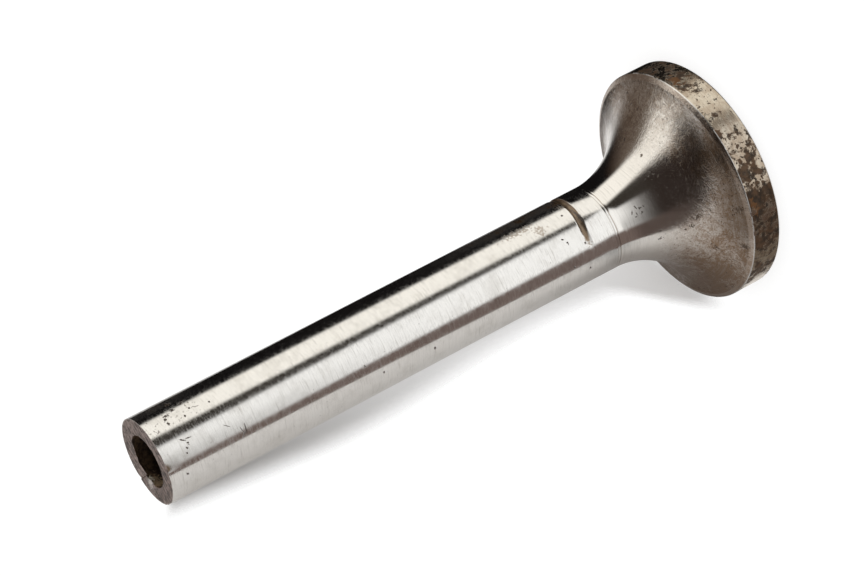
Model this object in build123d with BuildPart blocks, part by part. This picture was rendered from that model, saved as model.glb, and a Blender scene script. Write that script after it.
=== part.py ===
"""Poppet valve for a heavy engine: one forging, turned all over, with a drilled stem.

The valve stands on the flat face of its head. The origin is at the centre of that face
and +Z runs up the stem to the sawn end. Lengths are millimetres, angles are degrees.
"""

import os
from math import cos, radians, sin, tan

from build123d import *

# The turned form
overall_length = 119.2  # head face to the highest point of the sawn end
stem_diameter = 16.0
head_diameter = 44.5
margin_height = 6.0  # the plain cylindrical rim of the head
seat_width = 0.9  # of the seat band, measured across the radius
seat_angle = 30.0  # of the seat band, from the head's plane
underhead_angle = 17.3  # of the back of the head where it meets the seat
neck_radius = 18.6  # the long fillet that blends the stem into the head
face_edge_break = 0.3  # the small chamfer round the head's face

# The drilled stem
bore_diameter = 9.8
bore_depth = 85.0  # full bore, from the sawn end to the start of the drill point
drill_point_angle = 118.0

# The sawn end: one cut right across, and a second one that came in lower and left a step
saw_tilt = 0.8  # the first cut falls this much towards +Y
second_cut_depth = 0.5  # below the highest point, at the step
second_cut_tilt = 2.0  # the second cut rises this much away from the step
step_offset = 2.2  # from the stem's axis to the step, towards -X

# The wear groove: round-bottomed and off centre, so it fades out before it has gone round
wear_height = 30.9  # above the head's face
wear_depth = 0.32  # where it is deepest
wear_floor_radius = 0.45  # of the groove's round section
wear_bearing = -22.0  # the side where it is deepest, from +X towards +Y

# The pair of fine turned rings just above the neck
ring_clearance = 0.4  # from the start of the neck to the first ring
ring_spacing = 0.55
ring_width = 0.24
ring_depth = 0.1
ring_count = 2

# Sizes that follow
stem_radius = stem_diameter / 2
head_radius = head_diameter / 2
bore_radius = bore_diameter / 2
seat_inner_radius = head_radius - seat_width
seat_inner_height = margin_height + seat_width * tan(radians(seat_angle))

# The back of the head is a shallow cone. It would meet the stem at the neck corner,
# which the neck fillet then rounds away almost as far out as the seat.
cone_run = seat_inner_radius - stem_radius
cone_length = cone_run / cos(radians(underhead_angle))
neck_corner_height = seat_inner_height + cone_run * tan(radians(underhead_angle))
half_turn = radians((90 - underhead_angle) / 2)
full_neck_radius = cone_length / tan(half_turn)
turned_neck_radius = min(neck_radius, 0.99 * full_neck_radius)
neck_start_height = neck_corner_height + turned_neck_radius * tan(half_turn)

# Cutting tools reach this far past the metal.
overcut = stem_radius

with BuildPart() as valve:
    # Half of the turned section, spun round the stem's axis
    with BuildSketch(Plane.XZ) as half_section:
        with BuildLine():
            Polyline(
                (0, 0),
                (head_radius - face_edge_break, 0),
                (head_radius, face_edge_break),
                (head_radius, margin_height),
                (seat_inner_radius, seat_inner_height),
                (stem_radius, neck_corner_height),
                (stem_radius, overall_length),
                (0, overall_length),
                close=True,
            )
        make_face()
        neck_corner = half_section.vertices().sort_by_distance(
            (stem_radius, neck_corner_height)
        )[0]
        fillet(neck_corner, radius=turned_neck_radius)
    revolve(axis=Axis.Z)

    # The blind bore and its drill point
    bore_floor = overall_length - bore_depth
    drill_point_length = bore_radius / tan(radians(drill_point_angle / 2))
    with BuildSketch(Plane.XZ):
        with BuildLine():
            Polyline(
                (0, bore_floor - drill_point_length),
                (bore_radius, bore_floor),
                (bore_radius, overall_length + overcut),
                (0, overall_length + overcut),
                close=True,
            )
        make_face()
    revolve(axis=Axis.Z, mode=Mode.SUBTRACT)

    # The first saw cut starts at the highest point, on the -Y side, and falls across
    near_edge = -stem_radius
    far_edge = stem_radius + overcut
    first_cut_drop = (far_edge - near_edge) * tan(radians(saw_tilt))
    with BuildSketch(Plane.YZ):
        with BuildLine():
            Polyline(
                (near_edge - overcut, overall_length + overcut),
                (near_edge - overcut, overall_length),
                (near_edge, overall_length),
                (far_edge, overall_length - first_cut_drop),
                (far_edge, overall_length + overcut),
                close=True,
            )
        make_face()
    extrude(amount=far_edge, both=True, mode=Mode.SUBTRACT)

    # The second cut takes the +Y half on one side of the step a little lower
    second_cut_rise = (far_edge + step_offset) * tan(radians(second_cut_tilt))
    step_foot = overall_length - second_cut_depth
    with BuildSketch(Plane.XZ):
        with BuildLine():
            Polyline(
                (-step_offset, overall_length + overcut),
                (-step_offset, step_foot),
                (far_edge, step_foot + second_cut_rise),
                (far_edge, overall_length + overcut),
                close=True,
            )
        make_face()
    extrude(amount=-far_edge, mode=Mode.SUBTRACT)

    # The wear groove is turned about an axis pushed away from its deepest side
    deepest_side = Vector(cos(radians(wear_bearing)), sin(radians(wear_bearing)), 0)
    groove_centre = Vector(0, 0, wear_height) - deepest_side * wear_depth
    groove_plane = Plane(
        origin=groove_centre,
        x_dir=deepest_side,
        z_dir=deepest_side.cross(Vector(0, 0, 1)),
    )
    with BuildSketch(groove_plane):
        with Locations((stem_radius + wear_floor_radius, 0)):
            Circle(wear_floor_radius)
    revolve(axis=Axis(groove_centre, (0, 0, 1)), mode=Mode.SUBTRACT)

    # The turned rings are shallow vees, all round
    for ring in range(ring_count):
        ring_height = neck_start_height + ring_clearance + ring * ring_spacing
        with BuildSketch(Plane.XZ):
            with BuildLine():
                Polyline(
                    (stem_radius - ring_depth, ring_height),
                    (stem_radius + ring_depth, ring_height - ring_width),
                    (stem_radius + ring_depth, ring_height + ring_width),
                    close=True,
                )
            make_face()
        revolve(axis=Axis.Z, mode=Mode.SUBTRACT)

valve.part.label = "valve"

os.makedirs("parts", exist_ok=True)
export_step(valve.part, "parts/valve.step")

print("neck starts at", round(neck_start_height, 3), "with radius", turned_neck_radius)
print("volume", round(valve.part.volume), "mm3")
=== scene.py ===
# %% [markdown]
# # A worn engine valve
# A poppet valve opens and closes one port of an engine. It is one forging: a straight
# stem that slides in a guide, a long hollow curve called the neck, and a thick head
# whose narrow seat band seals the port. This one is used, its stem is drilled, and its
# far end has been sawn off. It stands on the flat face of its head.
# Everything here is in metres, in the frame of the solid model, with +Z up the stem.

from functools import partial
from math import atan2, cos, degrees, hypot, pi, radians, sin, tan

import bmesh
import bpy
from mathutils import Matrix, Vector, noise


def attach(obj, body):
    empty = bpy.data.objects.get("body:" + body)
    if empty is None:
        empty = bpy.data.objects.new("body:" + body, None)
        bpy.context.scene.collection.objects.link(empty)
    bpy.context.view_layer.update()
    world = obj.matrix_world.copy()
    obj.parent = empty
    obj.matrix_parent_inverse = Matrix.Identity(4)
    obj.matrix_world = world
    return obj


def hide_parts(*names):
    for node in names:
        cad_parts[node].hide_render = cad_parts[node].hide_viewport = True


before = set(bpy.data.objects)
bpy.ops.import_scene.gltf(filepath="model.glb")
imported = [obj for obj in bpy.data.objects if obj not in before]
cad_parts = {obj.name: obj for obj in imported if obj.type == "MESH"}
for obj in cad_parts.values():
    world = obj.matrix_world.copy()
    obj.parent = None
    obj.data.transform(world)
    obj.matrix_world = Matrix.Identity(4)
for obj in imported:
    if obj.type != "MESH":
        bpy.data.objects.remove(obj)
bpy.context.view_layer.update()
print("nodes:", sorted(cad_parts))

# %% [markdown]
# ## Names for the sizes
# The solid is a plain turned shape. The piece modelled here takes its place, with the
# same driving sizes, so the two agree to a hair, and adds the marks of use. Sizes are
# named in millimetres, because that is how a turner would read them, and one factor
# brings them to Blender's metres.

# %% Driving sizes
mm = 0.001

overall_length = 119.2
stem_radius = 8.0
head_radius = 22.25
margin_height = 6.0
seat_width = 0.9
seat_angle = 30.0
underhead_angle = 17.3
neck_radius = 18.6
face_edge_break = 0.3
bore_radius = 4.9
bore_depth = 85.0
drill_point_angle = 118.0

seat_inner_radius = head_radius - seat_width
seat_inner_height = margin_height + seat_width * tan(radians(seat_angle))
cone_run = seat_inner_radius - stem_radius
neck_corner_height = seat_inner_height + cone_run * tan(radians(underhead_angle))
neck_tangent = neck_radius * tan(radians((90 - underhead_angle) / 2))
neck_start_height = neck_corner_height + neck_tangent
bore_floor_height = overall_length - bore_depth
drill_point_height = bore_floor_height - bore_radius / tan(radians(drill_point_angle / 2))
print("the neck starts", round(neck_start_height, 2), "mm above the head's face")

# %% [markdown]
# ## The half section
# A turned part is its half section spun about the axis. It could be a stack of
# cylinders and cones, but then each joint would need its own blend. One line of corner
# points, with the neck corner rounded by a vertex bevel, gives the whole outline at
# once, and the long hollow of the neck meets the stem without a seam. Two fine turned
# rings lie just above the neck, and two more corners fence in the groove's stretch.

# %% A line of corners
ring_height = neck_start_height + 0.4
ring_spacing = 0.55
ring_half_width = 0.12
ring_depth = 0.022
groove_low = 29.2
groove_high = 32.4
cut_allowance = 1.5


def add_line(section, corners):
    points = []
    for radius, height in corners:
        points.append(section.verts.new((radius * mm, 0.0, height * mm)))
    for start, end in zip(points, points[1:]):
        section.edges.new((start, end))
    return points


corners = [
    (0.0, 0.0),
    (head_radius - face_edge_break, 0.0),
    (head_radius, face_edge_break),
    (head_radius, margin_height),
    (seat_inner_radius, seat_inner_height),
    (stem_radius, neck_corner_height),
]
for ring in range(2):
    height = ring_height + ring * ring_spacing
    corners.append((stem_radius, height - ring_half_width))
    corners.append((stem_radius - ring_depth, height))
    corners.append((stem_radius, height + ring_half_width))
corners += [
    (stem_radius, groove_low),
    (stem_radius, groove_high),
    (stem_radius, overall_length - cut_allowance),
    (stem_radius, overall_length + cut_allowance),
    (bore_radius, overall_length + cut_allowance),
    (bore_radius, overall_length - cut_allowance),
    (bore_radius, bore_floor_height),
    (0.0, drill_point_height),
]
section = bmesh.new()
line = add_line(section, corners)
print("corners in the half section:", len(line))

# %% [markdown]
# ## Rounding and dividing the line
# A vertex bevel swaps a corner for an arc. The neck gets one with many steps, and the
# corners of the rim get tiny ones, because no edge on a used part is perfectly sharp
# and the small arc is what catches the light. Long runs are then divided, so that later
# steps have points to push for wear.

# %% Arcs at the corners
neck_steps = 72
edge_ease = 0.10
rim_ease = 0.14


def round_corner(corner, reach, steps):
    bmesh.ops.bevel(
        section,
        geom=[corner],
        offset=reach * mm,
        offset_type="OFFSET",
        segments=steps,
        profile=0.5,
        affect="VERTICES",
        material=-1,
    )


face_edge, rim_foot, rim_top, seat_top, neck_corner = line[1:6]
round_corner(neck_corner, neck_tangent, neck_steps)
round_corner(seat_top, edge_ease, 2)
round_corner(rim_top, rim_ease, 4)
round_corner(rim_foot, edge_ease, 2)
round_corner(face_edge, edge_ease, 2)
print("points after rounding:", len(section.verts))

# %% Divide the long runs
corner_slack = 0.3
same_place = 0.01


def divide_run(low, high, radius, pieces):
    for edge in list(section.edges):
        heights = sorted(vert.co.z / mm for vert in edge.verts)
        on_radius = all(abs(vert.co.x / mm - radius) < same_place for vert in edge.verts)
        if on_radius and heights[0] < low + corner_slack and heights[1] > high - corner_slack:
            bmesh.ops.subdivide_edges(section, edges=[edge], cuts=pieces - 1)
            return


divide_run(face_edge_break, margin_height, head_radius, pieces=14)
divide_run(groove_low, groove_high, stem_radius, pieces=32)
divide_run(groove_high, overall_length - cut_allowance, stem_radius, pieces=60)
divide_run(bore_floor_height, overall_length - cut_allowance, bore_radius, pieces=24)
print("points after dividing:", len(section.verts))

# %% [markdown]
# ## Spinning the section
# The spin operator sweeps the line round the axis, as a lathe does. A full spin leaves
# the first and last copies on top of each other, and all the copies of the two end
# points on the axis, so doubles are merged before the faces are turned outwards.

# %% Spin
spin_steps = 256
turned = section
bmesh.ops.spin(
    turned,
    geom=turned.verts[:] + turned.edges[:],
    cent=(0.0, 0.0, 0.0),
    axis=(0.0, 0.0, 1.0),
    angle=2 * pi,
    steps=spin_steps,
    use_merge=True,
)
bmesh.ops.remove_doubles(turned, verts=turned.verts[:], dist=1e-6)
bmesh.ops.recalc_face_normals(turned, faces=turned.faces[:])
print("faces after the spin:", len(turned.faces))

# %% [markdown]
# ## The sawn end
# Somebody cut the stem through with a hand saw. The first cut falls a little to one
# side. The second came in lower, from that side, and left a step. Bisecting the mesh
# with a plane cuts it just as a saw does, and the opened wall is closed again by
# bridging its two rims.

# %% First cut
saw_tilt = 0.8
saw_normal = Vector((0.0, sin(radians(saw_tilt)), cos(radians(saw_tilt))))
bmesh.ops.bisect_plane(
    turned,
    geom=turned.verts[:] + turned.edges[:] + turned.faces[:],
    dist=1e-7,
    plane_co=Vector((0.0, -stem_radius * mm, overall_length * mm)),
    plane_no=saw_normal,
    clear_outer=True,
)
open_rims = [edge for edge in turned.edges if edge.is_boundary]
bridged = bmesh.ops.bridge_loops(turned, edges=open_rims)
print("rim edges:", len(open_rims), "and faces across the wall:", len(bridged["faces"]))

# %% Divide the sawn wall
wall_rings = 13
across_wall = []
for edge in bridged["edges"]:
    first, second = edge.verts
    if abs(hypot(*first.co.xy) - hypot(*second.co.xy)) > 1.0 * mm:
        across_wall.append(edge)
bmesh.ops.subdivide_edges(turned, edges=across_wall, cuts=wall_rings, use_grid_fill=True)
bmesh.ops.recalc_face_normals(turned, faces=turned.faces[:])
print("faces with the sawn wall:", len(turned.faces))

# %% [markdown]
# ## The second cut
# The step runs straight across one half of the wall. Two more bisecting planes, close
# together, lay the edges of its riser. Then every point on the far side is let down to
# the plane of the second cut. Letting points down keeps the wall closed, where a
# boolean cut would leave long thin faces.

# %% Edges for the step
step_offset = 2.2
riser_width = 0.28
second_cut_depth = 0.32
second_cut_tilt = 2.4
notch_depth = 0.10
notch_reach = 1.1


def on_sawn_wall(vert):
    height = overall_length - (vert.co.y / mm + stem_radius) * tan(radians(saw_tilt))
    return abs(vert.co.z / mm - height) < same_place


for line_at in (-step_offset, -step_offset + riser_width):
    wall = [vert for vert in turned.verts if on_sawn_wall(vert) and vert.co.y > -0.5 * mm]
    faces = {face for vert in wall for face in vert.link_faces}
    edges = {edge for face in faces for edge in face.edges}
    verts = {vert for face in faces for vert in face.verts}
    bmesh.ops.bisect_plane(
        turned,
        geom=[*verts, *edges, *faces],
        dist=1e-7,
        plane_co=(line_at * mm, 0.0, 0.0),
        plane_no=(1.0, 0.0, 0.0),
    )
print("faces with the step's edges:", len(turned.faces))


# %% Let the second cut down
def second_cut_height(across):
    beyond = across + step_offset
    rise = beyond * tan(radians(second_cut_tilt))
    notch = notch_depth * max(0.0, 1.0 - beyond / notch_reach)
    return overall_length - second_cut_depth + rise - notch


lowered = 0
for vert in turned.verts:
    across = vert.co.x / mm
    beside_step = across > -step_offset + riser_width / 2
    if vert.co.y > 0.1 * mm and beside_step and on_sawn_wall(vert):
        new_height = second_cut_height(across)
        if new_height * mm < vert.co.z:
            vert.co.z = new_height * mm
            lowered = lowered + 1
print("points let down for the second cut:", lowered)

# %% [markdown]
# ## Burr and chips
# The saw pushed a ragged burr over the rim of the bore on its far side, and the near
# edge of the stem has lost small chips. Both are made by moving the points of the wall:
# the burr inwards, the chips down and in, with seeded noise for the raggedness.

# %% Bearings, fades and ragged noise
noise_shift = Vector((3.1, 7.7, 1.9))


def bearing_of(vert):
    return degrees(atan2(vert.co.y, vert.co.x))


def turn_between(bearing, centre):
    return abs((bearing - centre + 180.0) % 360.0 - 180.0)


def fade(value, full, nothing):
    share = (nothing - value) / (nothing - full)
    share = min(1.0, max(0.0, share))
    return share * share * (3.0 - 2.0 * share)


def ragged(vert, size):
    return noise.noise(vert.co / (size * mm) + noise_shift)


def pull_in(vert, shrink):
    vert.co.x = vert.co.x * shrink
    vert.co.y = vert.co.y * shrink


# %% Push the burr inwards
burr_bearing = 92.0
burr_full_turn = 45.0
burr_end_turn = 62.0
burr_reach = 0.55
burr_width = 0.5
burr_height = 0.9
burr_tooth = 1.1
burr_raggedness = 0.7
burred = 0
for vert in turned.verts:
    radius = hypot(*vert.co.xy) / mm
    high = vert.co.z / mm > overall_length - burr_height
    if radius < bore_radius + burr_width and (on_sawn_wall(vert) or high):
        turn_away = turn_between(bearing_of(vert), burr_bearing)
        strength = fade(turn_away, burr_full_turn, burr_end_turn)
        strength = strength * fade(radius, bore_radius + 0.02, bore_radius + burr_width)
        reach = burr_reach * strength * (1.0 + burr_raggedness * ragged(vert, burr_tooth))
        pull_in(vert, (radius - reach) / radius)
        burred = burred + (reach > 0.0)
print("points pushed into the burr:", burred)

# %% Break chips out of the near edge
chip_bearing = -114.0
chip_full_turn = 14.0
chip_end_turn = 30.0
chip_depth = 0.34
chip_pull = 0.03
chip_width = 0.35
chip_height = 0.6
chip_size = 1.3
chip_share = 0.25
chipped_points = 0
for vert in turned.verts:
    radius = hypot(*vert.co.xy) / mm
    high = vert.co.z / mm > overall_length - chip_height
    if radius > stem_radius - chip_width and high:
        turn_away = turn_between(bearing_of(vert), chip_bearing)
        strength = fade(turn_away, chip_full_turn, chip_end_turn)
        strength = strength * max(0.0, ragged(vert, chip_size) + chip_share)
        vert.co.z = vert.co.z - chip_depth * strength * mm
        pull_in(vert, 1.0 - chip_pull * strength)
        chipped_points = chipped_points + (strength > 0.0)
print("points moved for the chips:", chipped_points)

# %% [markdown]
# ## The wear groove
# The guide's edge has worn a shallow groove into the stem just above the neck. It is
# deepest on one side, fades out round the back, and wanders a little up and down. The
# section has closely spaced rings there, and their points are pressed in.

# %% Press the groove in
groove_bearing = -22.0
groove_full_turn = 40.0
groove_end_turn = 96.0
groove_depth = 0.32
groove_half_width = 0.72
groove_line = 30.15
groove_wander = 0.65
wander_from = -48.0
wander_to = -95.0
groove_tooth = 1.5
groove_raggedness = 0.3
pressed = 0
for vert in turned.verts:
    radius = hypot(*vert.co.xy) / mm
    height = vert.co.z / mm
    if abs(radius - stem_radius) < same_place and groove_low < height < groove_high:
        bearing = bearing_of(vert)
        centre = groove_line + groove_wander * fade(bearing, wander_to, wander_from)
        away = (height - centre) / groove_half_width
        if abs(away) < 1.0:
            turn_away = turn_between(bearing, groove_bearing)
            depth = groove_depth * fade(turn_away, groove_full_turn, groove_end_turn)
            depth = depth * (1.0 - away * away)
            depth = depth * (1.0 + groove_raggedness * ragged(vert, groove_tooth))
            pull_in(vert, (radius - depth) / radius)
            pressed = pressed + (depth > 0.0)
print("points pressed into the groove:", pressed)

# %% [markdown]
# ## Which face is which
# Each stretch of the valve has its own finish: ground stem, used neck, scratched rim,
# sawn end, drilled bore and plain head face. A face learns its finish from where it
# lies, and edges with a real corner are marked sharp so that the rest shades smoothly.

# %% Finish numbers
finish_names = ["stem", "neck", "margin", "sawn_end", "bore", "head_face"]
sharp_corner = 28.0
sawn_stretch = 1.4
flat_enough = 0.6
drill_point_reach = 4.0
edge_slack = 0.02
bore_slack = 0.1
neck_slack = 0.3


def finish_of(face):
    centre = face.calc_center_median()
    radius = hypot(*centre.xy) / mm
    height = centre.z / mm
    facing_up = face.normal.z > flat_enough and radius < stem_radius - edge_slack
    if height < face_edge_break:
        return "head_face"
    if height > overall_length - sawn_stretch and facing_up:
        return "sawn_end"
    if height > bore_floor_height - drill_point_reach and radius < bore_radius + bore_slack:
        return "bore"
    if height < margin_height - edge_slack:
        return "margin"
    if height < neck_start_height + neck_slack:
        return "neck"
    return "stem"


bmesh.ops.recalc_face_normals(turned, faces=turned.faces[:])
turned.normal_update()
for face in turned.faces:
    face.smooth = True
    face.material_index = finish_names.index(finish_of(face))
for edge in turned.edges:
    if len(edge.link_faces) == 2 and degrees(edge.calc_face_angle(0.0)) > sharp_corner:
        edge.smooth = False
print("sharp edges:", sum(1 for edge in turned.edges if not edge.smooth))

# %% [markdown]
# ## One object
# The finished mesh becomes one object. It rides on the only body and takes the place of
# the plain solid. Each finish below adds a slot of its own.

# %% Make the object
valve_mesh = bpy.data.meshes.new("worn_valve")
turned.to_mesh(valve_mesh)
turned.free()
worn_valve = bpy.data.objects.new("worn_valve", valve_mesh)
bpy.context.scene.collection.objects.link(worn_valve)
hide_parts("valve")
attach(worn_valve, "root")
print("triangles:", sum(len(polygon.vertices) - 2 for polygon in valve_mesh.polygons))

# %% [markdown]
# ## Helpers for materials
# Each finish below is a few nodes, so making and joining them is put in short helpers.
# A socket knows the node tree it belongs to, so helpers that take sockets find the tree
# by themselves, and a finish reads like a sum. A socket or a plain number can be given
# anywhere: a socket is linked, a number is set. `remap` is a soft step that carries a
# value from one range to another, and `paint` lays a colour over a base by its shares.


# %% Making and joining nodes
def is_socket(value):
    return isinstance(value, bpy.types.NodeSocket)


def tree_of(values):
    return next(value.id_data for value in values if is_socket(value))


def feed(value, socket):
    if is_socket(value):
        socket.id_data.links.new(value, socket)
    else:
        socket.default_value = value


def add_node(tree, kind, inputs=None, **settings):
    node = tree.nodes.new("ShaderNode" + kind)
    for name, value in settings.items():
        setattr(node, name, value)
    for name, value in (inputs or {}).items():
        feed(value, node.inputs[name])
    return node


def colour(red, green, blue):
    return (red, green, blue, 1.0)


# %% Sums, products and the strongest of several masks
def calculate(operation, *values, clamp=False):
    inputs = dict(enumerate(values))
    tree = tree_of(values)
    return add_node(tree, "Math", inputs, operation=operation, use_clamp=clamp).outputs[0]


def fold(operation, values, clamp=False):
    total = values[0]
    for value in values[1:]:
        total = calculate(operation, total, value, clamp=clamp)
    return total


def times(*values, clamp=False):
    return fold("MULTIPLY", values, clamp)


def plus(*values):
    return fold("ADD", values)


def strongest(*masks):
    return fold("MAXIMUM", masks)


def minus(first, second):
    return calculate("SUBTRACT", first, second)


# %% Soft steps and mixed colours
def remap(value, low, high, new_low=0.0, new_high=1.0):
    inputs = {"Value": value, "From Min": low, "From Max": high}
    inputs.update({"To Min": new_low, "To Max": new_high})
    tree = tree_of([value, low, high])
    node = add_node(tree, "MapRange", inputs, interpolation_type="SMOOTHSTEP")
    return node.outputs["Result"]


def mix_colour(share, first, second):
    inputs = {0: share, 6: first, 7: second}
    tree = tree_of(inputs.values())
    return add_node(tree, "Mix", inputs, data_type="RGBA").outputs[2]


def paint(base, tint, *shares):
    return mix_colour(times(*shares), base, tint)


# %% Parts of a position
def split(vector):
    return add_node(vector.id_data, "SeparateXYZ", {0: vector}).outputs


def length_of(x, y):
    flat = add_node(x.id_data, "CombineXYZ", {"X": x, "Y": y}).outputs[0]
    return add_node(x.id_data, "VectorMath", {0: flat}, operation="LENGTH").outputs["Value"]


def depth_below(position, radius):
    x, y, z = split(position)
    return minus(radius, length_of(x, y)), z


def near_bearing(position, bearing, full, nothing):
    parts = split(position)
    turn = calculate("ARCTAN2", parts["Y"], parts["X"])
    away = calculate("ARCCOSINE", calculate("COSINE", minus(turn, radians(bearing))))
    return remap(away, radians(nothing), radians(full))


# %% [markdown]
# ## Groups
# What several finishes share is a node group. An input with a number is a plain number
# socket, and one without is a vector.


# %% Group helpers
def new_group(name, inputs, output):
    tree = bpy.data.node_groups.new(name, "ShaderNodeTree")
    for label, value in inputs.items():
        kind = "NodeSocketVector" if value is None else "NodeSocketFloat"
        socket = tree.interface.new_socket(label, in_out="INPUT", socket_type=kind)
        if value is not None:
            socket.default_value = value
    tree.interface.new_socket(output, in_out="OUTPUT", socket_type="NodeSocketFloat")
    entry = tree.nodes.new("NodeGroupInput")
    leave = tree.nodes.new("NodeGroupOutput")
    return tree, entry.outputs, leave.inputs[output]


def use_group(group, output, **values):
    inputs = {name.replace("_", " "): value for name, value in values.items()}
    return add_node(tree_of(values.values()), "Group", inputs, node_tree=group).outputs[output]


# %% [markdown]
# ## Lines of the tool
# A lathe or a grinding wheel leaves fine lines right round the part. A wave texture
# would give even rings, but real ones differ in depth and start and stop. Noise that is
# stretched round the part and squeezed along it gives that. The height runs along the
# outline: on the neck the radius grows while the height falls, so one is taken from the
# other.

# %% Tool lines group
line_inputs = {"Vector": None, "Lines per mm": 6.0, "Change Around": 0.15, "Detail": 3.0}
tool_lines, given, result = new_group("Tool Lines", line_inputs, "Height")
x, y, z = split(given["Vector"])
squeezed_parts = {
    "X": times(x, given["Change Around"]),
    "Y": times(y, given["Change Around"]),
    "Z": times(minus(z, length_of(x, y)), given["Lines per mm"]),
}
squeezed = add_node(tool_lines, "CombineXYZ", squeezed_parts).outputs[0]
grain_inputs = {"Vector": squeezed, "Scale": 1.0, "Detail": given["Detail"]}
feed(add_node(tool_lines, "TexNoise", grain_inputs).outputs["Fac"], result)
print("made group", tool_lines.name)


def tool_height(position, per_mm, change, detail=3.0):
    sizes = {"Lines_per_mm": per_mm, "Change_Around": change, "Detail": detail}
    return use_group(tool_lines, "Height", Vector=position, **sizes)


# %% [markdown]
# ## Blotches
# Rust, stains and wear come in patches with a ragged edge. Noise of the patch's size is
# cut off at a level: a low level covers more. The same group serves the neck, the rim
# and the sawn end, each with its own sizes.

# %% Blotches group
blotch_inputs = {
    "Vector": None,
    "Patches per mm": 0.5,
    "Level": 0.55,
    "Softness": 0.05,
    "Detail": 6.0,
    "Roughness": 0.6,
}
blotches, given, result = new_group("Blotches", blotch_inputs, "Mask")
cloud_inputs = {
    "Vector": given["Vector"],
    "Scale": given["Patches per mm"],
    "Detail": given["Detail"],
    "Roughness": given["Roughness"],
}
cloud = add_node(blotches, "TexNoise", cloud_inputs).outputs["Fac"]
ratio = calculate("DIVIDE", minus(cloud, given["Level"]), given["Softness"])
feed(remap(ratio, -1.0, 1.0), result)
print("made group", blotches.name)


def patches(position, per_mm, level, softness, detail, rough=0.6):
    sizes = {"Patches_per_mm": per_mm, "Level": level, "Softness": softness}
    grain = {"Detail": detail, "Roughness": rough}
    return use_group(blotches, "Mask", Vector=position, **sizes, **grain)


# %% [markdown]
# ## Single marks
# A nick, pit or scratch sits at one place. A Mapping node of the texture kind moves
# that place to the middle, turns it to face outwards and divides by the mark's size, so
# the mark becomes a ball of radius one there. This group turns the distance from the
# middle into a mask, with noise to make the edge ragged.

# %% Blemish group
edge_swing = 4.0
mark_depth = 2.0
blemish_inputs = {"Vector": None, "Position": None, "Raggedness": 0.4, "Specks per mm": 3.0}
blemish, given, result = new_group("Blemish", blemish_inputs, "Mask")
reach = add_node(blemish, "VectorMath", {0: given["Vector"]}, operation="LENGTH").outputs["Value"]
edge_inputs = {"Vector": given["Position"], "Scale": given["Specks per mm"]}
edge_noise = add_node(blemish, "TexNoise", edge_inputs).outputs["Fac"]
swing = times(minus(edge_noise, 0.5), given["Raggedness"], edge_swing)
feed(remap(plus(reach, swing), 1.0, 0.55), result)
print("made group", blemish.name)


def mark(position, radius, bearing, height, width, length, lean=0.0, rag=0.4, specks=3.0):
    turn = radians(bearing)
    inputs = {
        "Vector": position,
        "Location": (radius * cos(turn), radius * sin(turn), height),
        "Rotation": (radians(lean), 0.0, turn),
        "Scale": (mark_depth, width, length),
    }
    moved = add_node(position.id_data, "Mapping", inputs, vector_type="TEXTURE").outputs[0]
    edge = {"Raggedness": rag, "Specks_per_mm": specks}
    return use_group(blemish, "Mask", Vector=moved, Position=position, **edge)


# %% [markdown]
# ## Start and end of a finish
# Positions come from Object coordinates turned to millimetres, so a pattern keeps its
# real size and sits still on the part from every side.


# %% Finish helpers
def start_finish(name):
    material = bpy.data.materials.new(name)
    material.use_nodes = True
    valve_mesh.materials.append(material)
    tree = material.node_tree
    place = add_node(tree, "TexCoord").outputs["Object"]
    to_mm = add_node(tree, "Mapping", {"Vector": place, "Scale": (1 / mm, 1 / mm, 1 / mm)})
    return tree, tree.nodes["Principled BSDF"], to_mm.outputs["Vector"]


def set_looks(shader, **looks):
    for name, value in looks.items():
        feed(value, shader.inputs[name.replace("_", " ")])
    print("finish", valve_mesh.materials[-1].name, "has", len(shader.id_data.nodes), "nodes")


def bumps(height, depth):
    inputs = {"Strength": 1.0, "Distance": depth * mm, "Height": height}
    return add_node(height.id_data, "Bump", inputs).outputs["Normal"]


# %% [markdown]
# ## Ground stem
# The stem was ground round and then polished by its guide. It mirrors the room in long
# streaks, because each fine line round it spreads light only along the stem. The lines
# change the colour and the gloss a little as well as the surface, or they would vanish
# wherever the room is plain. Pits, nicks and stains are single marks.

# %% Stem colours and lines
bright_steel = colour(0.77, 0.75, 0.72)
dull_steel = colour(0.46, 0.43, 0.39)
old_stain = colour(0.23, 0.15, 0.085)
oil_brown = colour(0.125, 0.062, 0.020)
groove_colour = colour(0.20, 0.125, 0.062)
pit_brown = colour(0.060, 0.040, 0.030)

tree, shader, position = start_finish("ground_stem")
fine = tool_height(position, per_mm=5.5, change=0.30, detail=4.0)
fine_lines = remap(fine, 0.46, 0.72)
broad_lines = remap(tool_height(position, per_mm=1.1, change=0.35), 0.45, 0.70)
lines = times(fine_lines, plus(broad_lines, 0.30))
base = mix_colour(times(lines, 0.42, clamp=True), bright_steel, dull_steel)

# %% Haze and freckles on the stem
haze = patches(position, per_mm=0.30, level=0.58, softness=0.14, detail=7.0)
base = paint(base, dull_steel, haze, 0.30)
below, along_stem = depth_below(position, stem_radius)
near_tip = times(near_bearing(position, -50, 12, 30), remap(along_stem, 106.0, 112.0))
freckle_level = remap(near_tip, 0.0, 1.0, 0.735, 0.645)
freckles = patches(position, per_mm=1.9, level=freckle_level, softness=0.02, detail=2.0)
base = paint(base, pit_brown, freckles, 0.6)

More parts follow.
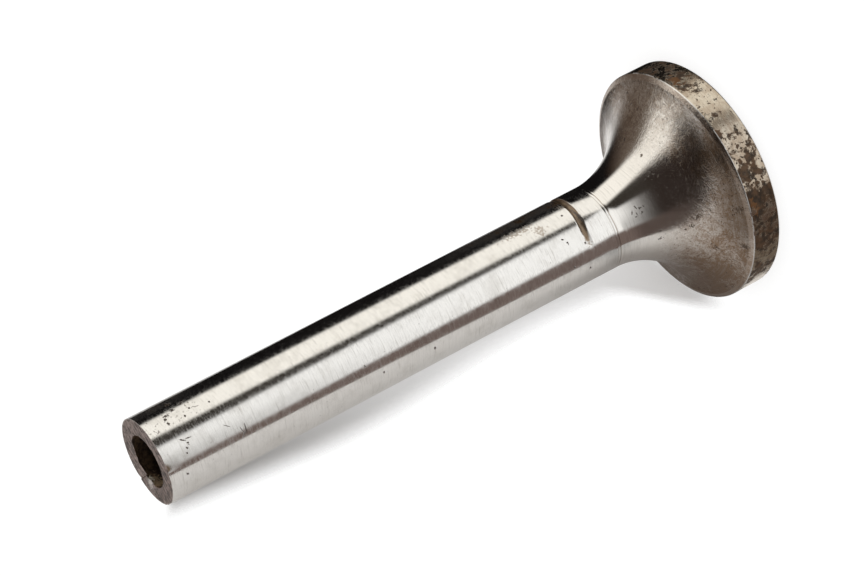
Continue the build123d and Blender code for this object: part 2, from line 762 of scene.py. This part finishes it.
# %% Pits and nicks on the stem
# Each mark has its bearing, its height, its width and its length along the stem.
stem_mark = partial(mark, position, stem_radius)
pits = strongest(
    stem_mark(-59, 107.0, 0.20, 0.22),
    stem_mark(-54, 110.5, 0.20, 0.20),
    stem_mark(-53, 115.0, 0.26, 0.30, rag=0.7),
    stem_mark(-44, 113.0, 0.40, 0.35, rag=0.9),
    stem_mark(-31, 112.8, 0.55, 0.40, rag=0.9),
    stem_mark(-61, 111.9, 0.30, 0.20, rag=0.9),
    stem_mark(-49, 114.6, 0.30, 0.45, rag=1.4, specks=4.0),
    stem_mark(-60, 115.1, 0.24, 0.22, rag=0.9),
    stem_mark(-40, 111.0, 0.30, 0.50, rag=1.4, specks=4.0),
    stem_mark(-86, 114.7, 0.14, 0.75, lean=-36.0, rag=0.4),
    stem_mark(-87, 113.5, 0.12, 0.60, lean=-4.0, rag=0.5),
    stem_mark(-93, 114.0, 0.26, 0.22, rag=1.0),
    stem_mark(-97, 114.5, 0.18, 0.20, rag=0.8),
    stem_mark(-103, 114.9, 0.22, 0.16, rag=0.8),
    stem_mark(-127, 115.9, 0.30, 0.20, rag=1.2),
    stem_mark(-110, 79.5, 0.42, 0.10, lean=25.0),
    stem_mark(-130, 76.3, 0.26, 0.22),
    stem_mark(-134, 65.6, 0.30, 0.26),
    stem_mark(-101, 31.6, 0.30, 0.26),
    stem_mark(-91, 34.7, 0.26, 0.22, rag=0.9),
    stem_mark(-84, 35.3, 0.22, 0.20, rag=0.9),
    stem_mark(-124, 35.0, 0.22, 0.20, rag=0.9),
    stem_mark(-137, 31.8, 0.24, 0.20, rag=0.9),
    stem_mark(-55, 32.5, 0.26, 0.26),
)
cuts = strongest(
    stem_mark(-109, 103.7, 1.10, 0.13, lean=-6.0, rag=0.1),
    stem_mark(-109, 104.4, 0.85, 0.11, lean=18.0, rag=0.1),
    stem_mark(-115, 104.3, 1.00, 0.12, lean=-46.0, rag=0.1),
    stem_mark(-96, 106.6, 0.10, 0.80, lean=-40.0, rag=0.1),
)
faint_rings = strongest(
    stem_mark(-94, 39.0, 2.0, 0.07, rag=0.1),
    stem_mark(-95, 38.3, 2.0, 0.07, rag=0.1),
    stem_mark(-127, 31.5, 1.2, 0.06, rag=0.1),
    stem_mark(-127, 30.4, 1.2, 0.06, rag=0.1),
)
base = paint(base, pit_brown, pits, 0.9)
base = paint(base, pit_brown, cuts, 0.65)
base = paint(base, dull_steel, faint_rings, 0.5)

# %% [markdown]
# Old oil has dried to a thin brown film on the upper side, thickest towards the neck.
# It is not a metal, so it takes a little of the metal's mirror away and glows brown
# where the mirror shows a dark flag.

# %% Stains and the oil film
stains = strongest(
    stem_mark(-34, 31.6, 1.6, 0.9, rag=0.8, specks=2.0),
    stem_mark(-45, 41.5, 0.8, 2.4, rag=1.7, specks=2.4),
    stem_mark(-60, 38.0, 1.0, 1.0, rag=1.7, specks=2.4),
    stem_mark(-100, 30.9, 1.2, 0.5, lean=8.0, rag=1.2, specks=3.0),
)
stain = times(stains, 0.5)
base = paint(base, old_stain, stain)
film_near_neck = remap(along_stem, 70.0, 35.0)
film_near_tip = remap(along_stem, 104.0, 112.0, 0.0, 0.5)
film = times(
    strongest(film_near_neck, film_near_tip),
    remap(haze, 0.0, 1.0, 0.55, 1.0),
    near_bearing(position, -21, 4, 20),
    remap(along_stem, 28.8, 31.0),
    remap(fine, 0.36, 0.62, 0.45, 1.0),
)
base = paint(base, oil_brown, times(film, 1.6, clamp=True))

# %% The brown groove, and painted shade in the turned rings
in_groove = remap(below, 0.03, 0.10)
groove_edge = stem_mark(-72, 29.85, 3.6, 0.32, lean=5.0, rag=0.5)
groove_brown = mix_colour(strongest(fine_lines, groove_edge), groove_colour, pit_brown)
base = paint(base, groove_brown, in_groove, 0.88)
# The two turned rings are painted dark brown along their lines, as painted shade in their shallow
# grooves.
from_ring = minus(along_stem, ring_height)
first_ring_shade = remap(calculate("ABSOLUTE", from_ring), 0.13, 0.04)
from_ring = minus(from_ring, ring_spacing)
second_ring_shade = remap(calculate("ABSOLUTE", from_ring), 0.13, 0.04, 0.0, 0.5)
base = paint(base, old_stain, strongest(first_ring_shade, second_ring_shade), 0.6)

# %% Gloss and relief
brushed = tool_height(position, per_mm=6.5, change=0.9, detail=4.0)
rough = remap(brushed, 0.38, 0.66, 0.085, 0.235)
very_fine = tool_height(position, per_mm=11.0, change=0.25)
relief = minus(plus(times(very_fine, 0.05), times(fine, 0.03)), pits)
set_looks(
    shader,
    Base_Color=base,
    Metallic=remap(film, 0.0, 1.0, 1.0, 0.68),
    Roughness=plus(rough, times(strongest(stain, pits, in_groove), 0.26)),
    Normal=bumps(minus(relief, times(cuts, 0.6)), 0.03),
)

# %% [markdown]
# ## Used neck
# Hot gas has browned the hollow of the neck. Near the stem it is still bright. Outwards
# a thin brown skin covers more and more of it, in clouds, with small dark pits. It is
# still metal under the skin, so it stays metallic and only its colour and gloss change.

# %% Neck colours and clouds
neck_bright = colour(0.78, 0.75, 0.71)
neck_skin = colour(0.275, 0.19, 0.13)
neck_dark = colour(0.075, 0.048, 0.032)
neck_brown = colour(0.11, 0.066, 0.036)
seat_brown = colour(0.50, 0.42, 0.36)

tree, shader, position = start_finish("used_neck")
below_rim, height = depth_below(position, head_radius)
outward = remap(height, 21.0, 7.5)
clouds = patches(position, per_mm=0.17, level=0.50, softness=0.12, detail=5.0)
mottle = patches(position, per_mm=0.8, level=0.49, softness=0.10, detail=8.0)
grain = patches(position, per_mm=3.2, level=0.50, softness=0.12, detail=4.0)
skin = plus(times(clouds, 0.35), times(mottle, 0.30), times(grain, 0.28), 0.16)

# %% Polished sides and gassed side of the neck
front_polish = near_bearing(position, -46, 10, 24)
side_polish = near_bearing(position, 38, 30, 52)
polish = times(strongest(front_polish, side_polish), 0.70, remap(height, 6.4, 11.0, 0.25, 1.0))
unpolished = minus(1.0, polish)
gassed = times(near_bearing(position, 180, 12, 50), remap(height, 17.0, 9.0))
skin = plus(times(skin, unpolished), times(gassed, 0.55))
skin = times(skin, outward, clamp=True)
base = mix_colour(skin, neck_bright, neck_skin)
# On the front the neck is painted darker brown towards the rim.
outer_brown = times(remap(height, 11.0, 7.0), 0.80, near_bearing(position, -104, 20, 44))
base = paint(base, neck_brown, outer_brown)

# %% Pits and scratches on the neck
# Here each mark starts with the neck's radius at its place.
neck_mark = partial(mark, position)
specks = patches(position, per_mm=1.7, level=0.655, softness=0.03, detail=3.0)
pits = strongest(
    times(specks, remap(height, 19.0, 13.0), unpolished),
    neck_mark(11.2, -49, 13.9, 0.30, 0.35, rag=0.8),
    neck_mark(8.6, -93.5, 19.4, 0.24, 0.34, rag=1.2),
    neck_mark(8.6, -97.5, 20.2, 0.30, 0.16, rag=1.2),
    neck_mark(8.6, -99.5, 19.2, 0.18, 0.30, rag=1.2),
    neck_mark(8.6, -91.0, 19.9, 0.40, 0.10, lean=20.0, rag=1.0),
    neck_mark(8.6, -95.0, 20.9, 0.34, 0.10, lean=-25.0, rag=1.0),
    neck_mark(8.6, -101.0, 20.4, 0.10, 0.34, lean=15.0, rag=1.0),
    neck_mark(8.6, -94.0, 18.6, 0.30, 0.10, lean=10.0, rag=1.0),
    neck_mark(13.3, -119, 11.3, 0.45, 0.40, rag=1.0),
    neck_mark(12.3, -127, 12.4, 0.40, 0.35, rag=1.0),
    neck_mark(9.4, -137, 17.1, 0.32, 0.40, rag=1.0),
    neck_mark(15.4, -146, 9.4, 0.45, 0.35, rag=1.2),
    neck_mark(20.0, -116, 6.9, 0.60, 0.50, rag=1.2),
    neck_mark(20.5, -138, 6.7, 0.50, 0.50, rag=1.2),
    neck_mark(9.5, -127, 17.0, 0.30, 0.30, rag=1.0),
)
base = paint(base, neck_dark, pits, 0.85)
fine = tool_height(position, per_mm=5.0, change=0.25)
base = paint(base, dull_steel, remap(fine, 0.50, 0.70, 0.0, 0.28))

# %% Worn corner and plain seat band
seat_dirt = near_bearing(position, -120, 34, 70)
seat_share = remap(below_rim, seat_width + 0.06, seat_width - 0.04)
base = paint(base, seat_brown, seat_share, remap(seat_dirt, 0.0, 1.0, 0.55, 0.20))
seat_edge = remap(below_rim, 0.17, 0.07)
base = paint(base, bright_steel, seat_edge, remap(seat_dirt, 0.0, 1.0, 0.9, 0.6))

# %% Gloss and relief
relief = plus(times(mottle, outward, 0.35), times(fine, 0.10))
relief = plus(relief, times(grain, times(outward, 0.15)))
set_looks(
    shader,
    Base_Color=base,
    Metallic=1.0,
    Roughness=plus(times(skin, 0.09), remap(height, 23.0, 12.0, 0.11, 0.165)),
    Normal=bumps(minus(relief, times(pits, 0.6)), 0.025),
)

# %% [markdown]
# ## Scratched rim
# The plain rim was ground, and fine scratches still run round it. Damp has left dark
# brown rust on it, in patches whose edges break up into specks. Rust is not a metal, so
# the same mask that brings its colour takes the metal and the gloss away.

# %% Rim colours
rim_bright = colour(0.60, 0.535, 0.44)
rim_tan = colour(0.33, 0.25, 0.18)
rust_dark = colour(0.022, 0.012, 0.007)
rust_mid = colour(0.11, 0.058, 0.029)
rust_orange = colour(0.20, 0.085, 0.025)

tree, shader, position = start_finish("scratched_margin")
tan_cloud = patches(position, per_mm=0.6, level=0.50, softness=0.10, detail=8.0)
rust_tone = patches(position, per_mm=0.9, level=0.50, softness=0.14, detail=8.0)
fine = tool_height(position, per_mm=7.0, change=0.10)
base = mix_colour(remap(fine, 0.47, 0.66, 0.0, 0.5), rim_bright, rim_tan)

# %% Where the rim is rusty
rusty_side = near_bearing(position, -121, 14, 60)
rusty_top = near_bearing(position, -32, 12, 24)
rusty = strongest(rusty_side, times(rusty_top, 0.85))
tan_share = plus(times(tan_cloud, 0.55), times(rusty, 0.32))
base = paint(base, rim_tan, calculate("MINIMUM", tan_share, 1.0))
rust_level = minus(0.585, times(rusty, 0.105))
big_rust = patches(position, 0.36, rust_level, softness=0.030, detail=9.0, rough=0.68)
speck_level = minus(0.64, times(rusty, 0.05))
small_rust = patches(position, 1.7, speck_level, softness=0.03, detail=5.0)

# %% Rust of the rim
rim_mark = partial(mark, position, head_radius)
orange_field = rim_mark(-41, 4.2, 1.6, 1.1, rag=1.0, specks=1.4)
red_field = rim_mark(-116, 4.9, 1.5, 0.7, rag=1.0, specks=1.4)
rust = strongest(
    rim_mark(-96, 2.6, 2.4, 1.2, rag=1.3, specks=1.2),
    rim_mark(-111, 2.8, 2.2, 1.6, rag=1.3, specks=1.2),
    rim_mark(-132, 2.4, 1.9, 1.5, rag=1.1, specks=1.2),
    big_rust,
    small_rust,
    orange_field,
)
rust_colour = mix_colour(rust_tone, rust_dark, rust_mid)
rust_colour = paint(rust_colour, rust_orange, strongest(orange_field, red_field), 0.75)
base = paint(base, rust_colour, rust, 0.92)
worn_corner = remap(split(position)["Z"], 5.80, 5.92)
base = paint(base, bright_steel, worn_corner, 0.85)
set_looks(
    shader,
    Base_Color=base,
    Specular_IOR_Level=0.2,
    Metallic=remap(rust, 0.0, 1.0, 1.0, 0.45),
    Roughness=remap(rust, 0.0, 1.0, 0.22, 0.50),
    Normal=bumps(plus(times(fine, 0.4), rust), 0.015),
)

# %% [markdown]
# ## Sawn end, bore and face
# The sawn wall is coarse and brown with age. Its worn outer edge is painted bright in
# chipped patches, partly wear and partly painted highlight, and the bore's lip has a
# painted highlight. The bore is rough from the drill and painted darker with depth,
# nearly black inside, as painted shade. A painted lit patch and a painted glint sit at
# its mouth. The face of the head is hidden in use, so it gets a plain turned finish.

# %% Sawn end finish
end_grey = colour(0.36, 0.272, 0.24)
end_brown = colour(0.040, 0.024, 0.018)
bright_wear_and_highlight = colour(0.66, 0.61, 0.56)
stroke_turn = (0.0, 0.0, radians(-52.0))
stroke_stretch = (0.25, 3.2, 1.0)

tree, shader, position = start_finish("sawn_end")
stroke_inputs = {"Vector": position, "Rotation": stroke_turn, "Scale": stroke_stretch}
stroke = add_node(tree, "Mapping", stroke_inputs).outputs[0]
stroke_inputs = {"Vector": stroke, "Scale": 1.0, "Detail": 3.0}
strokes = add_node(tree, "TexNoise", stroke_inputs).outputs["Fac"]
crust = patches(position, per_mm=1.4, level=0.50, softness=0.075, detail=8.0)
share = plus(times(crust, 0.60), remap(strokes, 0.48, 0.56, 0.0, 0.55))
base = mix_colour(calculate("MINIMUM", share, 1.0), end_grey, end_brown)
below, height = depth_below(position, stem_radius)
chipped = patches(position, per_mm=1.1, level=0.46, softness=0.06, detail=4.0)
# The worn outer edge is painted bright in chipped patches: partly wear, partly a painted
# highlight.
worn_rim_and_highlight = times(remap(below, 0.24, 0.05), chipped, 0.75)
# A bright spot on the bore's lip is a painted highlight.
painted_lip_highlight = mark(position, bore_radius, 130, 118.9, 1.0, 0.9, rag=0.8)
set_looks(
    shader,
    Base_Color=paint(base, bright_wear_and_highlight, strongest(worn_rim_and_highlight, times(painted_lip_highlight, 0.9))),
    Metallic=1.0,
    Roughness=0.40,
    Normal=bumps(plus(times(strokes, 1.6), times(crust, 0.5)), 0.10),
)

# %% Bore finish
bore_brown = colour(0.15, 0.095, 0.055)
bore_dark = colour(0.05, 0.032, 0.022)
painted_bore_shade = colour(0.009, 0.004, 0.003)
painted_bore_light = colour(0.50, 0.36, 0.22)
painted_bore_glint = colour(0.95, 0.85, 0.68)

tree, shader, position = start_finish("drilled_bore")
scale_cloud = patches(position, per_mm=0.8, level=0.5, softness=0.1, detail=5.0)
base = mix_colour(scale_cloud, bore_brown, bore_dark)
# The inside of the bore is painted darker with depth, down to nearly black: painted shade.
base = paint(base, painted_bore_shade, remap(split(position)["Z"], 118.3, 114.8))
bore_mark = partial(mark, position, bore_radius)
# A tan patch at the mouth of the bore is painted light, where light falls in.
base = paint(base, painted_bore_light, bore_mark(141, 118.2, 2.0, 1.3, rag=0.8), 0.85)
# A pale spot on the bore's lip is a painted glint.
base = paint(base, painted_bore_glint, bore_mark(129, 118.7, 0.8, 0.5, rag=1.0))
set_looks(shader, Base_Color=base, Metallic=0.7, Roughness=0.45)

# %% Head face finish
face_bright = colour(0.52, 0.48, 0.43)
face_dull = colour(0.36, 0.31, 0.27)

tree, shader, position = start_finish("head_face")
turned_lines = tool_height(position, per_mm=3.0, change=0.1)
set_looks(
    shader,
    Base_Color=mix_colour(remap(turned_lines, 0.35, 0.65), face_bright, face_dull),
    Metallic=1.0,
    Roughness=0.35,
    Normal=bumps(turned_lines, 0.02),
)

# %% [markdown]
# ## The camera
# The valve stands on its head, but it is looked at from above one side with the camera
# rolled over, so that the stem runs down to the left. A long lens keeps the two ends
# nearly the same size.

# %% Camera
camera_data = bpy.data.cameras.new("camera")
camera_data.lens = 127.43
camera_data.sensor_width = 36.0
camera = bpy.data.objects.new("camera", camera_data)
bpy.context.scene.collection.objects.link(camera)
bpy.context.scene.camera = camera
camera_right = Vector((-0.463079, -0.361134, -0.809407))
camera_down = Vector((-0.886287, 0.196168, 0.419539))
camera_forward = Vector((0.007270, 0.911647, -0.410910))
camera_turn = Matrix((camera_right, -camera_down, -camera_forward)).transposed()
camera_place = Vector((0.0, -0.487151, 0.277874))
camera.matrix_world = Matrix.LocRotScale(camera_place, camera_turn, None)
print("camera stands at", tuple(round(value, 3) for value in camera_place))

# %% [markdown]
# ## The studio
# Polished steel shows the room more than itself, so the room is laid out first. Round
# the white tent stand two soft boxes and, between them, dark flags, which draw the black
# streaks that make a cylinder look round. They are painted on the world by direction,
# because they stand far off: `turn` is the bearing of a direction and `climb` its height
# above the horizon, both in degrees, and each edge has its softness in degrees too. The
# world is plain white to the camera, plain soft light to matt surfaces, and this studio
# to glossy ones.

# %% Directions in the world
world = bpy.data.worlds.new("studio")
bpy.context.scene.world = world
world.use_nodes = True
sky = world.node_tree
sky.nodes.clear()
east, north, up = split(add_node(sky, "TexCoord").outputs["Generated"])
turn = times(calculate("ARCTAN2", north, east), 180 / pi)
climb = times(calculate("ARCSINE", up), 180 / pi)
print("the world has", len(sky.nodes), "nodes for its directions")


def step_up(value, edge, softness=10.0):
    return remap(minus(value, edge), -softness / 2, softness / 2)


def step_down(value, edge, softness=10.0):
    return remap(minus(value, edge), softness / 2, -softness / 2)


# %% The tall soft box and its arm
stem_dip = 18.0
box_left = -40.5
box_left_slant = 0.33
box_right = 4.0
box_low_slant = 0.35
box_high_slant = 0.10
box_top = 58.5
arm_bearing = radians(75.0)
arm_rise = 1.19
arm_end = 85.0
right_of_left_edge = step_up(turn, plus(times(climb, box_left_slant), box_left))
above_stem = plus(climb, stem_dip)
low_bend = times(calculate("MINIMUM", above_stem, 0.0), box_low_slant)
high_bend = times(calculate("MAXIMUM", above_stem, 0.0), box_high_slant)
tall_part = step_down(turn, plus(low_bend, high_bend, box_right), 11.0)
arm_x = times(east, -arm_rise * cos(arm_bearing))
arm_y = times(north, -arm_rise * sin(arm_bearing))
above_arm_edge = step_up(plus(arm_x, arm_y, up), 0.0, 0.14)
arm_part = times(above_arm_edge, step_down(turn, arm_end))
below_top = step_down(climb, box_top, 6.0)
soft_box = times(times(right_of_left_edge, below_top), strongest(tall_part, arm_part))

# %% The front panel
panel_left = -129.3
panel_left_at_tip = -132.8
panel_right = -72.2
low_climb = calculate("MAXIMUM", minus(-stem_dip, climb), 0.0)
near_tip_climb = times(step_up(climb, -18.6, 0.8), step_down(climb, -16.6, 1.0))
left_edge = remap(near_tip_climb, 0.0, 1.0, panel_left, panel_left_at_tip)
right_edge = plus(low_climb, panel_right)
panel_sides = times(step_up(turn, left_edge), step_down(turn, right_edge))
panel_dim = times(remap(turn, -86.0, -124.0, 0.0, 0.40), remap(climb, -23.0, -20.5))
panel_fade = times(remap(climb, 30.0, -30.0), minus(1.0, panel_dim))
front_panel = times(panel_sides, panel_fade)

# %% The pale back of the room
back_near_top = 64.0
back_near_stem = 72.0
back_step_at_head = 15.0
back_top = 18.0
far_back_from = 122.0
back_edge = remap(climb, 12.0, -stem_dip, back_near_top, back_near_stem)
back_edge = plus(back_edge, remap(climb, -20.5, -27.0, 0.0, back_step_at_head))
back_low = times(step_down(climb, back_top, 26.0), step_up(turn, back_edge, 15.0))
back_far = step_up(turn, far_back_from, 20.0)

# %% Flags and glow
low_side = times(step_down(climb, -8.0), step_up(turn, 0.0))
side_heights = times(step_up(climb, 2.0, 24.0), step_down(climb, 45.0, 20.0))
side_sides = times(step_up(turn, 8.0), step_down(turn, 100.0, 20.0))
high_side = times(side_heights, side_sides)
thin_sides = times(step_up(turn, -72.0, 8.0), step_down(turn, -40.0, 8.0))
thin_flag = times(thin_sides, step_down(climb, 24.0, 30.0))
gap_strip = times(step_down(turn, -128.0, 8.0), step_down(climb, 50.0, 36.0))
gap_dusk = remap(climb, -18.0, 4.0, 0.0, 0.5)
print("the world has", len(sky.nodes), "nodes for its shapes")

# %% Put the studio together
white = colour(1.0, 1.0, 1.0)
flag_colour = colour(0.020, 0.011, 0.007)
black_flag = colour(0.007, 0.006, 0.006)
side_glow = colour(0.15, 0.115, 0.09)
thin_flag_colour = colour(0.042, 0.036, 0.030)
gap_colour = colour(0.18, 0.138, 0.125)
box_colour = colour(1.18, 1.155, 1.09)
panel_colour = colour(1.19, 1.20, 1.20)
back_colour = colour(1.05, 1.04, 1.03)
far_back_colour = colour(0.28, 0.25, 0.22)
studio_colour = mix_colour(low_side, flag_colour, black_flag)
layers = [
    (high_side, side_glow),
    (thin_flag, thin_flag_colour),
    (gap_strip, mix_colour(gap_dusk, gap_colour, flag_colour)),
    (back_low, mix_colour(back_far, back_colour, far_back_colour)),
    (soft_box, box_colour),
    (front_panel, panel_colour),
]
for mask, layer_colour in layers:
    studio_colour = mix_colour(mask, studio_colour, layer_colour)


def mix_shader(share, first, second):
    inputs = {0: share, 1: first, 2: second}
    return add_node(share.id_data, "MixShader", inputs).outputs[0]


def light_of(tint):
    return add_node(sky, "Background", {"Color": tint}).outputs[0]


rays = add_node(sky, "LightPath").outputs
seen = strongest(rays["Is Camera Ray"], rays["Is Transmission Ray"])
unseen_light = mix_shader(rays["Is Glossy Ray"], light_of(white), light_of(studio_colour))
add_node(sky, "OutputWorld", {"Surface": mix_shader(seen, unseen_light, light_of(white))})
bpy.context.scene.view_settings.view_transform = "Standard"
print("the world has", len(sky.nodes), "nodes in all")

# %% [markdown]
# ## The floor and the table card
# The floor is plain and pale, and keeps the valve's shadow. A pale card leans against
# the valve from behind, touching the rim and the tip, as a table would if the valve lay
# down. It gives the stem its broad light streak and takes a soft shadow. Both are part
# of the stage, not of the valve. A little glow of their own, for the camera only, keeps
# them from looking grey against the white room. Places on the card are in millimetres:
# `along` from its foot, and `across` from the line where it touches, towards the front.


# %% A pale stage finish
def pale_finish(name, albedo):
    material = bpy.data.materials.new(name)
    material.use_nodes = True
    tree = material.node_tree
    tree.nodes.clear()
    matt = add_node(tree, "BsdfDiffuse", {"Color": colour(albedo, albedo, albedo)})
    return material, tree, matt.outputs[0]


def add_glow(shader, tint, strength):
    tree = shader.id_data
    glow = add_node(tree, "Emission", {"Color": tint, "Strength": strength}).outputs[0]
    return add_node(tree, "AddShader", {0: shader, 1: glow}).outputs[0]


def lift_to_camera(shader, lift):
    rays = add_node(shader.id_data, "LightPath").outputs
    seen = strongest(rays["Is Camera Ray"], rays["Is Transmission Ray"])
    return add_glow(shader, white, times(seen, lift))


def pale_card(name, length, width):
    mesh = bpy.data.meshes.new(name)
    made = bmesh.new()
    bmesh.ops.create_grid(made, x_segments=1, y_segments=1, size=0.5)
    bmesh.ops.scale(made, vec=(width, length, 1.0), verts=made.verts[:])
    made.to_mesh(mesh)
    made.free()
    card = bpy.data.objects.new(name, mesh)
    bpy.context.scene.collection.objects.link(card)
    return card


# %% Floor
floor_size = 3.0
floor = pale_card("floor", floor_size, floor_size)
floor_finish, tree, pale = pale_finish("pale_floor", albedo=0.37)
add_node(tree, "OutputMaterial", {"Surface": lift_to_camera(pale, 0.72)})
floor.data.materials.append(floor_finish)
floor.visible_glossy = False
print("floor of", floor_size, "m")

# %% Table card
contact_bearing = 136.5
front_reach = 60.0
far_reach = 85.0
table_length = 260.0
table_slope = (head_radius - stem_radius) / (overall_length - margin_height)
turn_to = radians(contact_bearing)
outwards = Vector((cos(turn_to), sin(turn_to), 0.0))
table_face = -(outwards + Vector((0.0, 0.0, table_slope))).normalized()
table_across = Vector((-sin(turn_to), cos(turn_to), 0.0))
table_along = table_face.cross(table_across)
if table_along.z < 0:
    table_along = -table_along
foot = outwards * (stem_radius + overall_length * table_slope) * mm
table = pale_card("table_card", table_length * mm, (front_reach + far_reach) * mm)
middle = foot + table_along * (table_length / 2) * mm
middle = middle + table_across * ((front_reach - far_reach) / 2) * mm
table_sideways = table_along.cross(table_face)
table_turn = Matrix((table_sideways, table_along, table_face)).transposed()
table.matrix_world = Matrix.LocRotScale(middle, table_turn, None)
contact_line = (foot - middle).dot(table_sideways) / mm
front_side = 1.0 if table_across.dot(table_sideways) > 0 else -1.0
table.visible_diffuse = False
table.visible_shadow = False
print("contact line lies", round(contact_line, 1), "mm from the card's middle", front_side)

# %% Places on the table card
table_finish, tree, pale = pale_finish("pale_table", albedo=0.80)
parts = split(add_node(tree, "TexCoord").outputs["Object"])
across = minus(times(parts["X"], front_side / mm), contact_line * front_side)
along = plus(times(parts["Y"], 1 / mm), table_length / 2)
rays = add_node(tree, "LightPath").outputs
glossy = rays["Is Glossy Ray"]
sides = add_node(tree, "NewGeometry").outputs
# Towards the tip the camera glow fades to nothing, which paints the card's shadow darker there.
pale = lift_to_camera(pale, remap(along, 46.0, 112.0, 0.30, 0.0))

# %% [markdown]
# The camera sees the card only where the valve's soft shadow lies on it, from the front
# and not edge on. Elsewhere it is clear, so the white room shows. The metal sees all of
# it but the front edge.

# %% Where the camera sees the card's shadow
shadow_edge = plus(remap(along, 5.0, 20.0, 9.6, -4.2), remap(along, 26.0, 92.0, 0.0, 9.3))
facing = add_node(tree, "VectorMath", {0: sides["Incoming"]}, operation="DOT_PRODUCT")
feed(sides["Normal"], facing.inputs[1])
shown = times(
    remap(minus(across, shadow_edge), 3.4, -4.4),
    remap(along, 2.0, 7.0),
    remap(across, -17.0, -9.5),
    remap(minus(along, times(across, 0.8)), 118.0, 115.0),
    minus(1.0, sides["Backfacing"]),
    remap(facing.outputs["Value"], 0.16, 0.36),
)
front_edge = remap(along, 26.0, 78.0, 44.0, 58.0)
past_front = calculate("GREATER_THAN", minus(across, front_edge), 0.0)
hidden = strongest(times(minus(1.0, shown), rays["Is Camera Ray"]), times(past_front, glossy))

# %% Painted shadow on the card, seen by the metal
cave_shadow_colour = colour(0.12, 0.10, 0.09)
far_shadow_colour = colour(0.012, 0.010, 0.009)
warm_white = colour(1.0, 0.95, 0.90)
# Only glossy rays see these: past a line on its far side the card is painted near black, and
# between the stem, the head and the card lies a cave of painted shadow.
past_edge = minus(remap(along, 52.0, 98.0, -46.0, -70.0), across)
far_shadow = times(remap(past_edge, -4.0, 6.0), remap(along, 8.0, 16.0))
cave_shadow = times(remap(across, 27.0, 8.0), remap(along, 48.0, 12.0), 0.47)
painted_shadow_share = times(strongest(far_shadow, cave_shadow), glossy)
dark = add_node(tree, "Emission", {"Color": mix_colour(far_shadow, cave_shadow_colour, far_shadow_colour)})
# Glossy rays also see a painted glow on the card, stronger towards its front.
painted_front_glow = times(remap(across, -30.0, 38.0, 0.07, 0.25), remap(along, 4.0, 20.0), glossy)
lit = add_glow(pale, warm_white, painted_front_glow)

# %% Table card finish
shaded = mix_shader(painted_shadow_share, lit, dark.outputs[0])
clear = add_node(tree, "BsdfTransparent").outputs[0]
add_node(tree, "OutputMaterial", {"Surface": mix_shader(hidden, shaded, clear)})
table.data.materials.append(table_finish)
print("table card leans at", round(degrees(atan2(table_slope, 1.0)), 1), "degrees")
